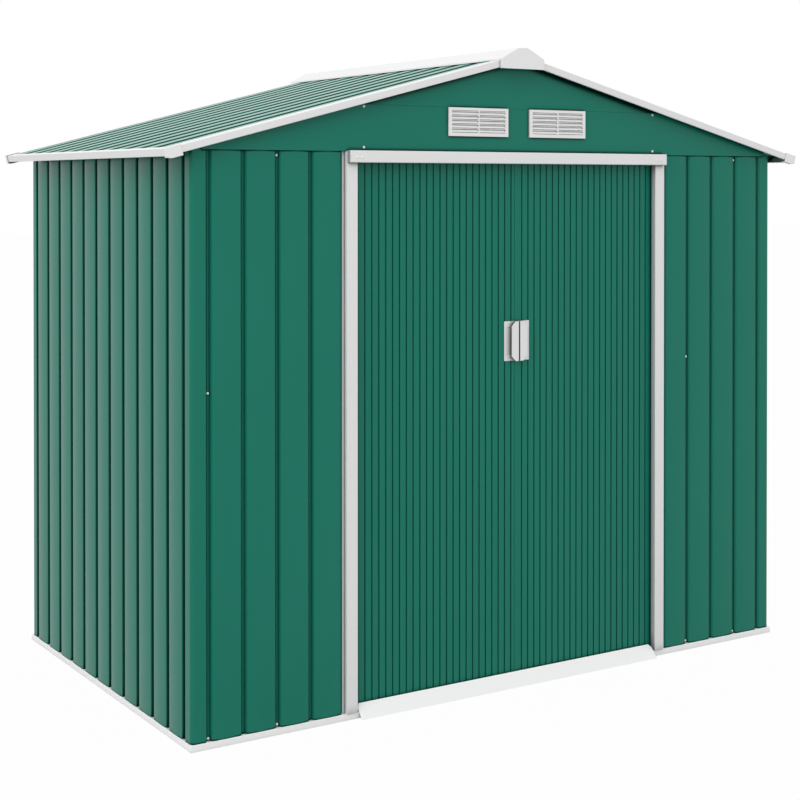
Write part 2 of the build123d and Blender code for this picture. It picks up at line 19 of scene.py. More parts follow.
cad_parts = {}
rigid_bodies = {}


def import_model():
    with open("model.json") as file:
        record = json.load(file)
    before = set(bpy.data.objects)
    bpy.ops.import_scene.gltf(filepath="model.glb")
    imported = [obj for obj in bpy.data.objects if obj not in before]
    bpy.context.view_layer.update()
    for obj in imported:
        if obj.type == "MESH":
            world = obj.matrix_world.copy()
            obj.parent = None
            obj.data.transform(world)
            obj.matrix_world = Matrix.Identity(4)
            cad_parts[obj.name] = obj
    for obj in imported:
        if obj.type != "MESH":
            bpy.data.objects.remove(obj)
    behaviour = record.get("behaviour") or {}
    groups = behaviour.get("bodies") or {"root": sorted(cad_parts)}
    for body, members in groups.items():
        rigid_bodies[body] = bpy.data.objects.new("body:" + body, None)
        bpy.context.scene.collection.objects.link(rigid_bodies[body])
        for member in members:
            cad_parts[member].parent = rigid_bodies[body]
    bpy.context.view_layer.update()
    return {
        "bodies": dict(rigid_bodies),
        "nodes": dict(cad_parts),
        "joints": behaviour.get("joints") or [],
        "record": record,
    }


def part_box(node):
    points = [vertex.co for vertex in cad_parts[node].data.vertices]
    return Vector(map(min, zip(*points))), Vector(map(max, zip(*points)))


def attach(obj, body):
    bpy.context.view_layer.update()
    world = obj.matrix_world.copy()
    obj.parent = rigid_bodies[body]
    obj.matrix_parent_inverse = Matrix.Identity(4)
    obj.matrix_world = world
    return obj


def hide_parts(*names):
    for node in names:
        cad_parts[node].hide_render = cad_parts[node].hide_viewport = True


LOG = logging.getLogger("shed")
Point = tuple[float, float, float]
Colour = tuple[float, float, float]
SIDES = {"left": -1, "right": 1}  # each side, and its way along X
ENDS = {"front": -1, "back": 1}  # each end, and its way along Y


class Body(Enum):
    """The CAD bodies that pieces ride on."""

    SHED = "shed"
    LEFT_DOOR = "left_door"
    RIGHT_DOOR = "right_door"


class Slot(Enum):
    """The record's material slots."""

    GREEN_SHEET = "green_sheet"
    WHITE_SHEET = "white_sheet"
    GALVANISED = "galvanised_steel"
    WHITE_PLASTIC = "white_plastic"
    RUNNER_PLASTIC = "runner_plastic"


def linear(colour: Colour) -> Colour:
    """Linear light values of a display colour given from 0 to 1, by the sRGB curve."""
    return tuple(
        part / 12.92 if part <= 0.04045 else ((part + 0.055) / 1.055) ** 2.4 for part in colour
    )


def scaled(colour: Colour, factor: float) -> Colour:
    """A linear colour made lighter or darker by a factor."""
    return tuple(part * factor for part in colour)


def rounded(
    mesh: bmesh.types.BMesh,
    edges: Sequence[bmesh.types.BMEdge],
    radius: float,
    steps: int = 2,
    clamped: bool = False,
) -> None:
    """Round edges of a mesh.

    Args:
        mesh: The mesh.
        edges: The edges to round.
        radius: How far the rounding reaches from each edge.
        steps: How many faces it has across.
        clamped: Whether roundings that would meet stop short of each other.
    """
    bmesh.ops.bevel(
        mesh,
        geom=edges,
        offset=radius,
        offset_type="OFFSET",
        segments=steps,
        profile=0.5,
        affect="EDGES",
        clamp_overlap=clamped,
        material=-1,
    )


class Value:
    """A number that varies over a surface. Arithmetic on it adds Math nodes."""

    def __init__(self, nodes: "Nodes", socket: bpy.types.NodeSocket) -> None:
        """Wrap one output of a node."""
        self.nodes = nodes
        self.socket = socket

    def math(self, operation: str, *inputs: "Value | float") -> "Value":
        """Work out one Math operation.

        Args:
            operation: The Math node's operation.
            inputs: Its inputs, in order.

        Returns:
            The result.
        """
        settings = {"operation": operation}
        return self.nodes.value("ShaderNodeMath", 0, settings, dict(enumerate(inputs)))

    def __add__(self, other: "Value | float") -> "Value":
        """This plus other."""
        return self.math("ADD", self, other)

    __radd__ = __add__

    def __mul__(self, other: "Value | float") -> "Value":
        """This times other."""
        return self.math("MULTIPLY", self, other)

    __rmul__ = __mul__

    def __sub__(self, other: "Value | float") -> "Value":
        """This less other."""
        return self.math("SUBTRACT", self, other)

    def __rsub__(self, other: "Value | float") -> "Value":
        """Other less this."""
        return self.math("SUBTRACT", other, self)

    def clamped(self) -> "Value":
        """This, kept from 0 to 1."""
        return self.math("MINIMUM", self.math("MAXIMUM", self, 0.0), 1.0)


class Nodes:
    """Adds nodes to one material's or world's tree."""

    def __init__(self, tree: bpy.types.NodeTree) -> None:
        """Start from an empty tree."""
        self.tree = tree
        tree.nodes.clear()

    def add(
        self,
        kind: str,
        settings: Mapping[str, Any] | None = None,
        inputs: Mapping[str | int, Any] | None = None,
    ) -> bpy.types.Node:
        """Add one node.

        Args:
            kind: The node's type.
            settings: Its properties, set first.
            inputs: Its sockets by name or number, each with a value or something to link.

        Returns:
            The node.
        """
        node = self.tree.nodes.new(kind)
        for name, value in (settings or {}).items():
            setattr(node, name, value)
        for name, value in (inputs or {}).items():
            if isinstance(value, Value):
                self.tree.links.new(value.socket, node.inputs[name])
            elif isinstance(value, bpy.types.NodeSocket):
                self.tree.links.new(value, node.inputs[name])
            else:
                node.inputs[name].default_value = value
        return node

    def value(
        self,
        kind: str,
        output: str | int,
        settings: Mapping[str, Any] | None = None,
        inputs: Mapping[str | int, Any] | None = None,
    ) -> Value:
        """Add a node and wrap one of its outputs.

        Args:
            kind: The node's type.
            output: The output's name or number.
            settings: The node's properties.
            inputs: The node's sockets.

        Returns:
            The output as a value.
        """
        return Value(self, self.add(kind, settings, inputs).outputs[output])

    def place(self) -> bpy.types.NodeSocket:
        """The point on the piece, in metres."""
        return self.add("ShaderNodeTexCoord").outputs["Object"]

    def noise(self, scale: float, detail: float = 2.0) -> Value:
        """Soft noise over a piece.

        Args:
            scale: Features in a metre.
            detail: How many finer layers it has.

        Returns:
            A value about 0.5.
        """
        inputs = {"Vector": self.place(), "Scale": scale, "Detail": detail, "Roughness": 0.55}
        return self.value("ShaderNodeTexNoise", "Fac", None, inputs)

    def tint(self, factor: Value, low: Colour, high: Colour) -> bpy.types.NodeSocket:
        """A colour between two.

        Args:
            factor: 0 for low and 1 for high.
            low: Linear colour at 0.
            high: Linear colour at 1.

        Returns:
            The mixed colour.
        """
        inputs = {0: factor, 6: (*low, 1.0), 7: (*high, 1.0)}
        return self.add("ShaderNodeMix", {"data_type": "RGBA"}, inputs).outputs[2]

    def openness(self, reach: float) -> Value:
        """How open the surface lies, from 0 deep in a groove to 1 on a bare face.

        Args:
            reach: How far off a neighbouring surface still counts, in metres.

        Returns:
            The openness.
        """
        settings = {"samples": 12}
        return self.value("ShaderNodeAmbientOcclusion", "AO", settings, {"Distance": reach})

    def creases(self, reach: float, gain: float, start: float, most: float) -> Value:
        """Where the surface lies hidden in a groove or corner: the mask for painted shade.

        Args:
            reach: How far off a neighbouring surface still counts, in metres.
            gain: How fast a crease darkens.
            start: How much of that is still bare.
            most: The darkest the painted shade in a crease becomes.

        Returns:
            0 on a bare face, up to most in a crease.
        """
        return ((1 - self.openness(reach)) * gain - start).clamped() * most

    def steepness(self, gain: float = 2.0, start: float = 0.3) -> Value:
        """How much the surface faces along Y.

        Args:
            gain: How fast it grows as the surface turns.
            start: How much of that still counts as flat.

        Returns:
            0 on a rib's flat top and 1 on a steep flank.
        """
        normal = self.add("ShaderNodeTexCoord").outputs["Normal"]
        along = self.value("ShaderNodeSeparateXYZ", "Y", None, {"Vector": normal})
        return (along.math("ABSOLUTE", along) * gain - start).clamped()

    def bump(
        self,
        height: Value,
        distance: float,
        strength: float,
        onto: bpy.types.NodeSocket | None = None,
    ) -> bpy.types.NodeSocket:
        """A normal that follows a height.

        Args:
            height: The height, from 0 to 1.
            distance: What a height of 1 stands for, in metres.
            strength: How much of it shows.
            onto: A normal to add it to.

        Returns:
            The bent normal.
        """
        inputs = {"Height": height, "Distance": distance, "Strength": strength}
        if onto is not None:
            inputs["Normal"] = onto
        return self.add("ShaderNodeBump", None, inputs).outputs["Normal"]

    def shade(
        self,
        uniform: Mapping[str, Any],
        varied: Mapping[str, Any],
        hidden: Value | None = None,
        painted_shade_colour: Colour = (0.0, 0.0, 0.0),
    ) -> None:
        """End the tree in a Principled surface, with a dark matt one painted as shade where it
        lies hidden.

        Args:
            uniform: Sockets that are the same all over.
            varied: Sockets that follow the surface.
            hidden: 1 where only the painted shade shows, or None for no painted shade at all.
            painted_shade_colour: The painted shade's linear colour.
        """
        surface = self.add("ShaderNodeBsdfPrincipled", None, {**uniform, **varied})
        if hidden is not None:
            # painted shade: a dark matt surface where the surface lies in a crease
            inputs = {"Base Color": (*painted_shade_colour, 1.0), "Roughness": 0.8, "Specular IOR Level": 0.0}
            matt = self.add("ShaderNodeBsdfPrincipled", None, inputs)
            surface = self.either(hidden, surface, matt)
        self.add("ShaderNodeOutputMaterial", None, {"Surface": surface.outputs[0]})

    def either(
        self, factor: Value, first: bpy.types.Node, second: bpy.types.Node
    ) -> bpy.types.Node:
        """Mix two shaders.

        Args:
            factor: 0 for the first and 1 for the second.
            first: The first shader's node.
            second: The second shader's node.

        Returns:
            The node that mixes them.
        """
        inputs = {0: factor, 1: first.outputs[0], 2: second.outputs[0]}
        return self.add("ShaderNodeMixShader", None, inputs)

    def white_light(self, kind: str, strength: float) -> bpy.types.Node:
        """A white light shader of a given type and strength."""
        return self.add(kind, None, {"Color": (1.0, 1.0, 1.0, 1.0), "Strength": strength})


@dataclass(frozen=True)
class Finish:
    """A surface finish: its name and the record's slot that it belongs to."""

    name: str
    slot: Slot

    def build(self, nodes: Nodes) -> None:
        """Draw the finish's nodes."""
        raise NotImplementedError

    def material(self) -> bpy.types.Material:
        """Make the finish's material, once.

        Returns:
            The Blender material.
        """
        made = bpy.data.materials.get(self.name)
        if made is None:
            made = bpy.data.materials.new(self.name)
            made.use_nodes = True
            self.build(Nodes(made.node_tree))
        return made


@dataclass(frozen=True)
class BakedEnamel(Finish):
    """Baked enamel on thin steel sheet: orange peel, a slightly wavy sheet, and painted shade
    in its creases.
    """

    colour: Colour
    roughness: float = 0.24
    patchy: float = 0.08  # how far the roughness varies
    patch_scale: float = 160.0
    gloss: float = 0.18
    shift: float = 0.04  # how far the colour varies each way
    cloud_scale: float = 2.2
    wave: float = 0.0006  # height of the sheet's waves
    wave_scale: float = 7.0
    wave_strength: float = 0.6
    peel: float = 0.00003  # height of the orange peel
    peel_scale: float = 700.0
    peel_strength: float = 0.5
    # how much painted shade gathers in grooves and corners
    crease_reach: float = 0.014
    crease_gain: float = 2.6
    crease_start: float = 0.22
    crease_most: float = 0.95
    flank_shade: float = 0.0  # painted shade on a rib's steep flanks: how dark they become
    painted_shade_colour: float = 0.05  # the painted shade's colour in the creases, as a share of the enamel's

    def build(self, nodes: Nodes) -> None:
        """Draw the enamel's nodes.

        Args:
            nodes: The material's nodes.
        """
        base = linear(self.colour)
        cloud = nodes.noise(self.cloud_scale, detail=3.0)
        dark, light = scaled(base, 1 - self.shift), scaled(base, 1 + self.shift)
        # painted shade in grooves and creases, darker where the surface is more closed in
        hidden = nodes.creases(
            self.crease_reach, self.crease_gain, self.crease_start, self.crease_most
        )
        # painted shade on the rib flanks that face along Y
        if self.flank_shade:
            hidden = hidden.math("MAXIMUM", hidden, nodes.steepness() * self.flank_shade)
        patches = nodes.noise(self.patch_scale)
        waves = nodes.noise(self.wave_scale, detail=1.0)
        wavy = nodes.bump(waves, self.wave, self.wave_strength)
        peel = nodes.bump(nodes.noise(self.peel_scale), self.peel, self.peel_strength, wavy)
        nodes.shade(
            {"Specular IOR Level": self.gloss},
            {
                "Base Color": nodes.tint(cloud, dark, light),
                "Roughness": self.roughness - self.patchy / 2 + patches * self.patchy,
                "Normal": peel,
            },
            hidden,
            scaled(base, self.painted_shade_colour),
        )


@dataclass(frozen=True)
class MouldedPlastic(Finish):
    """Moulded plastic with a fine matt grain, and painted shade in its slots where it has any.
    """

    colour: Colour
    roughness: float = 0.5
    patchy: float = 0.1  # how far the roughness varies
    gloss: float = 0.4
    shade: float = 0.97  # the darkest tone, as a share of the colour
    cloud_scale: float = 30.0
    grain: float = 0.00005  # height of the grain
    grain_scale: float = 1600.0
    grain_strength: float = 0.5
    crease_reach: float = 0.0  # 0 for no painted shade in slots
    crease_gain: float = 4.0
    crease_start: float = 1.2
    crease_most: float = 0.95
    painted_shade_colour: float = 0.03  # the painted shade's colour in the slots, as a share of the plastic's

    def build(self, nodes: Nodes) -> None:
        """Draw the plastic's nodes.

        Args:
            nodes: The material's nodes.
        """
        base = linear(self.colour)
        cloud = nodes.noise(self.cloud_scale)
        grain = nodes.noise(self.grain_scale)
        # painted shade in the slots
        hidden = None
        if self.crease_reach:
            hidden = nodes.creases(
                self.crease_reach, self.crease_gain, self.crease_start, self.crease_most
            )
        nodes.shade(
            {"Specular IOR Level": self.gloss},
            {
                "Base Color": nodes.tint(cloud, scaled(base, self.shade), base),
                "Roughness": self.roughness - self.patchy / 2 + grain * self.patchy,
                "Normal": nodes.bump(grain, self.grain, self.grain_strength),
            },
            hidden,
            scaled(base, self.painted_shade_colour),
        )


@dataclass(frozen=True)
class ZincCoat(Finish):
    """Galvanised steel: crystals of zinc, each with its own tone and sheen."""

    colour: Colour = (0.80, 0.81, 0.82)
    metallic: float = 0.85
    roughness: float = 0.34
    patchy: float = 0.18  # how far the roughness varies
    shade: float = 0.78  # the darkest crystal, as a share of the colour
    crystal_scale: float = 110.0
    crystal_share: float = 0.7
    cloud_scale: float = 9.0
    cloud_share: float = 0.3
    relief: float = 0.00004  # height of the crystals
    relief_strength: float = 0.4

    def build(self, nodes: Nodes) -> None:
        """Draw the zinc's nodes.

        Args:
            nodes: The material's nodes.
        """
        base = linear(self.colour)
        inputs = {"Vector": nodes.place(), "Scale": self.crystal_scale}
        cells = nodes.add("ShaderNodeTexVoronoi", {"feature": "F1"}, inputs)
        crystal = nodes.value("ShaderNodeSeparateColor", 0, None, {0: cells.outputs["Color"]})
        cloud = nodes.noise(self.cloud_scale)
        tone = (crystal * self.crystal_share + cloud * self.cloud_share).clamped()
        nodes.shade(
            {"Metallic": self.metallic},
            {
                "Base Color": nodes.tint(tone, scaled(base, self.shade), base),
                "Roughness": self.roughness + crystal * self.patchy,
                "Normal": nodes.bump(crystal, self.relief, self.relief_strength),
            },
        )


@dataclass(frozen=True)
class BrightScrew(Finish):
    """Bright zinc on a small screw head, with fine turning marks."""

    colour: Colour = (0.98, 1.0, 0.97)
    metallic: float = 0.1
    roughness: float = 0.24
    patchy: float = 0.12  # how far the roughness varies
    shade: float = 0.85  # the darkest mark, as a share of the colour
    mark_scale: float = 1400.0

    def build(self, nodes: Nodes) -> None:
        """Draw the screw metal's nodes.

        Args:
            nodes: The material's nodes.
        """
        base = linear(self.colour)
        marks = nodes.noise(self.mark_scale)
        nodes.shade(
            {"Metallic": self.metallic},
            {
                "Base Color": nodes.tint(marks, scaled(base, self.shade), base),
                "Roughness": self.roughness + marks * self.patchy,
            },
        )


# The enamel and plastic copies below differ mainly in how much painted shade gathers in their
# creases.
GABLE_GREEN = BakedEnamel("green_gable_enamel", Slot.GREEN_SHEET, (0.07, 0.464, 0.390))
FRONT_GREEN = replace(
    GABLE_GREEN,
    name="green_front_enamel",
    crease_reach=0.006,
    crease_gain=14.0,
    crease_start=0.8,
)
DOOR_GREEN = replace(GABLE_GREEN, name="green_door_enamel", crease_most=0.62)
GREEN = replace(
    GABLE_GREEN, name="green_enamel", crease_reach=0.03, crease_gain=4.0, crease_start=0.3
)
# the roof's green: lighter and glossier, with painted shade on the rib flanks
ROOF_GREEN = replace(
    GREEN, name="green_roof_enamel", colour=(0.10, 0.56, 0.48), gloss=0.5, flank_shade=0.8
)
WHITE = BakedEnamel(
    "white_enamel",
    Slot.WHITE_SHEET,
    (0.92, 0.92, 0.92),
    roughness=0.36,
    gloss=0.2,
    wave=0.0002,
    shift=0.012,
    crease_reach=0.016,
    crease_gain=2.0,
    crease_start=0.35,
    crease_most=0.8,
)
# deeper painted shade inside the header's channel, the jambs' returns and under the handles'
# flaps
DEEP_WHITE = replace(
    WHITE, name="white_channel_enamel", crease_reach=0.06, crease_gain=2.4, crease_start=0.3
)
HANDLE_WHITE = replace(DEEP_WHITE, name="white_handle_enamel", crease_reach=0.022)
STRIP_WHITE = replace(WHITE, name="white_strip_enamel", crease_most=0.15)
# the base rails' and ramp's white: painted lighter than WHITE, as if more light reached them,
# with only a faint painted shade
RAIL_WHITE = BakedEnamel(
    "white_rail_enamel",
    Slot.WHITE_SHEET,
    (0.985, 0.985, 0.985),
    roughness=0.36,
    gloss=0.3,
    wave=0.0002,
    shift=0.006,
    crease_most=0.1,
)
ZINC = ZincCoat("galvanised_steel", Slot.GALVANISED)
PLASTIC = MouldedPlastic("white_plastic", Slot.WHITE_PLASTIC, (0.90, 0.90, 0.90))
# the vents' plastic: lighter than the other white plastic, with painted shade in its slots
VENT_PLASTIC = replace(
    PLASTIC, name="white_vent_plastic", colour=(0.945, 0.945, 0.945), crease_reach=0.004
)
NYLON = MouldedPlastic(
    "runner_nylon", Slot.RUNNER_PLASTIC, (0.80, 0.80, 0.78), roughness=0.42, grain_scale=900.0
)
SCREW = BrightScrew("bright_screw", Slot.GALVANISED)
FINISHES = {finish.slot: finish for finish in (GREEN, WHITE, ZINC, PLASTIC, NYLON)}
BASE_RAILS = tuple(f"base_rail_{side}" for side in ("front", "left", "right", "back"))
VENTS = tuple(f"{end}_vent_{side}" for end in ENDS for side in SIDES)
SPECIAL_FINISHES = {
    **dict.fromkeys(("roof_left", "roof_right"), ROOF_GREEN),
    **dict.fromkeys(("front_wall_left", "front_wall_right", "back_wall"), FRONT_GREEN),
    **dict.fromkeys(("front_gable", "back_gable"), GABLE_GREEN),
    **dict.fromkeys(("door_left", "door_right"), DOOR_GREEN),
    **dict.fromkeys((*BASE_RAILS, "door_ramp"), RAIL_WHITE),
    **dict.fromkeys(("jamb_left", "jamb_right", "door_header"), DEEP_WHITE),
    **dict.fromkeys(("handle_left", "handle_right"), HANDLE_WHITE),
    **dict.fromkeys(VENTS, VENT_PLASTIC),
}


@dataclass
class Bench:
    """Turns meshes into finished pieces on their bodies, and keeps a list of them."""

    sharp: float = math.radians(30.0)
    made: list[bpy.types.Object] = field(default_factory=list)

    def piece(
        self, name: str, mesh: bmesh.types.BMesh, body: Body, finish: Finish
    ) -> bpy.types.Object:
        """Finish a mesh as a piece of the shed.

        Args:
            name: The piece's name.
            mesh: Its shape, in place. It is freed.
            body: What it moves with.
            finish: Its surface.

        Returns:
            The piece.
        """
        bmesh.ops.recalc_face_normals(mesh, faces=mesh.faces)
        data = bpy.data.meshes.new(name)
        mesh.to_mesh(data)
        mesh.free()
        data.shade_smooth()
        data.set_sharp_from_angle(angle=self.sharp)
        data.materials.append(finish.material())
        thing = bpy.data.objects.new(name, data)
        bpy.context.scene.collection.objects.link(thing)
        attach(thing, body.value)
        thing.modifiers.new("even_normals", "WEIGHTED_NORMAL").keep_sharp = True
        self.made.append(thing)
        LOG.info("%s: %d faces, rides on %s", name, len(data.polygons), body.value)
        return thing


@dataclass
class Fabric:
    """The CAD nodes: what each rides on, its finish, and its shape with softer edges."""

    frame: Mapping[str, Any]
    bench: Bench
    weld: float = 2e-6
    flat: float = math.radians(0.3)
    sharp: float = math.radians(15.0)
    steps: int = 3
    fold_share: float = 0.35  # shortest rounded bend, as a share of the sheet's longest side
    fold_breadth: float = 0.0021  # narrower faces are the sheet's cut edges

    def __post_init__(self) -> None:
        """Look up each node's body and finish."""
        record = self.frame["record"]
        self.finishes = {
            item["node"]: FINISHES[Slot(item["material_slot"])] for item in record["subparts"]
        }
        self.finishes.update(SPECIAL_FINISHES)
        bodies = record["behaviour"]["bodies"]
        self.bodies = {node: Body(name) for name, nodes in bodies.items() for node in nodes}

    def dress(self) -> None:
        """Give every CAD node its finish."""
        for name, node in self.frame["nodes"].items():
            node.data.materials.clear()
            node.data.materials.append(self.finishes[name].material())
            LOG.info("%s: %s", name, self.finishes[name].name)

    def merged(self, node: str) -> bmesh.types.BMesh:
        """Copy a CAD node's mesh, with its triangles joined into flat faces.

        Args:
            node: The CAD node.

        Returns:
            The copy.
        """
        mesh = bmesh.new()
        mesh.from_mesh(self.frame["nodes"][node].data)
        bmesh.ops.remove_doubles(mesh, verts=mesh.verts, dist=self.weld)
        bmesh.ops.dissolve_limit(
            mesh, angle_limit=self.flat, verts=mesh.verts, edges=mesh.edges
        )
        return mesh

    @staticmethod
    def _breadth(face: bmesh.types.BMFace, edge: bmesh.types.BMEdge) -> float:
        """Measure how far a face reaches from one of its edges.

        Args:
            face: The face.
            edge: The edge.

        Returns:
            The distance.
        """
        start, along = edge.verts[0].co, (edge.verts[1].co - edge.verts[0].co).normalized()
        reach = 0.0
        for vert in face.verts:
            away = vert.co - start
            reach = max(reach, (away - along * away.dot(along)).length)
        return reach

    def _bends(
        self, mesh: bmesh.types.BMesh, convex: bool, least_length: float, least_breadth: float
    ) -> list[bmesh.types.BMEdge]:
        """Find a mesh's bent edges.

        Args:
            mesh: The mesh.
            convex: Whether the bends' outer or inner side is wanted.
            least_length: Shorter edges are left out.
            least_breadth: Edges of narrower faces, such as cut edges, are left out.

        Returns:
            The edges.
        """
        return [
            edge
            for edge in mesh.edges
            if len(edge.link_faces) == 2
            and edge.is_convex == convex
            and edge.calc_length() > least_length
            and edge.calc_face_angle(0.0) > self.sharp
            and min(self._breadth(face, edge) for face in edge.link_faces) > least_breadth
        ]

    def soften(
        self,
        node: str,
        outer: float,
        inner: float = 0.0,
        least_length: float = 0.0,
        least_breadth: float = 0.0,
    ) -> bpy.types.Object:
        """Stand a copy with rounded bends in a CAD node's place.

        Args:
            node: The CAD node.
            outer: Radius of the bends' outer side.
            inner: Radius of their inner side, or 0 to leave it sharp.
            least_length: Shorter edges stay sharp.
            least_breadth: Edges of narrower faces stay sharp.

        Returns:
            The piece that replaces the node.
        """
        mesh = self.merged(node)
        for convex, radius in ((True, outer), (False, inner)):
            bends = self._bends(mesh, convex, least_length, least_breadth) if radius else []
            if bends:
                rounded(mesh, bends, radius, self.steps, clamped=True)
        name, body = f"{node}_finished", self.bodies[node]
        thing = self.bench.piece(name, mesh, body, self.finishes[node])
        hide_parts(node)
        return thing

    def fold(self, node: str, outer: float) -> bpy.types.Object:
        """Round the long bends of a folded sheet.

        Args:
            node: The CAD node.
            outer: Radius of the bends' outer side.

        Returns:
            The piece that replaces the node.
        """
        low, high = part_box(node)
        least_length = max(high - low) * self.fold_share
        return self.soften(node, outer, outer / 2, least_length, self.fold_breadth)


@dataclass
class Screws:
    """Pan-head screws with washers, joined into one piece for each face of the shed."""

    bench: Bench
    head_radius: float = 0.0034
    head_height: float = 0.0018
    head_taper: float = 0.6
    washer_radius: float = 0.0039
    washer_height: float = 0.0007
    washer_taper: float = 0.92
    steps: int = 12

    def _stack(self, mesh: bmesh.types.BMesh, spot: Vector, outward: Vector) -> None:
        """Add one screw to a mesh.

        Args:
            mesh: The joined screws.
            spot: Where the washer meets the sheet.
            outward: Direction out of the sheet.
        """
        turn = outward.to_track_quat("Z", "Y").to_matrix().to_4x4()
        for radius, taper, foot, height in (
            (self.washer_radius, self.washer_taper, 0.0, self.washer_height),
            (self.head_radius, self.head_taper, self.washer_height, self.head_height),
        ):
            raised = Matrix.Translation((0, 0, foot + height / 2))
            bmesh.ops.create_cone(
                mesh,
                cap_ends=True,
                segments=self.steps,
                radius1=radius,
                radius2=radius * taper,
                depth=height,
                matrix=Matrix.Translation(spot) @ turn @ raised,
            )

    def joined(
        self,
        name: str,
        spots: Iterable[Point],
        outward: Point,
        body: Body,
        finish: Finish | None = None,
    ) -> bpy.types.Object:
        """Make one piece of many screws.

        Args:
            name: The piece's name.
            spots: Where each screw meets the sheet.
            outward: Direction out of the sheet.
            body: What they move with.
            finish: Their surface, or None for bright zinc.

        Returns:
            The joined piece.
        """
        mesh = bmesh.new()
        for spot in spots:
            self._stack(mesh, Vector(spot), Vector(outward))
        return self.bench.piece(name, mesh, body, finish or SCREW)


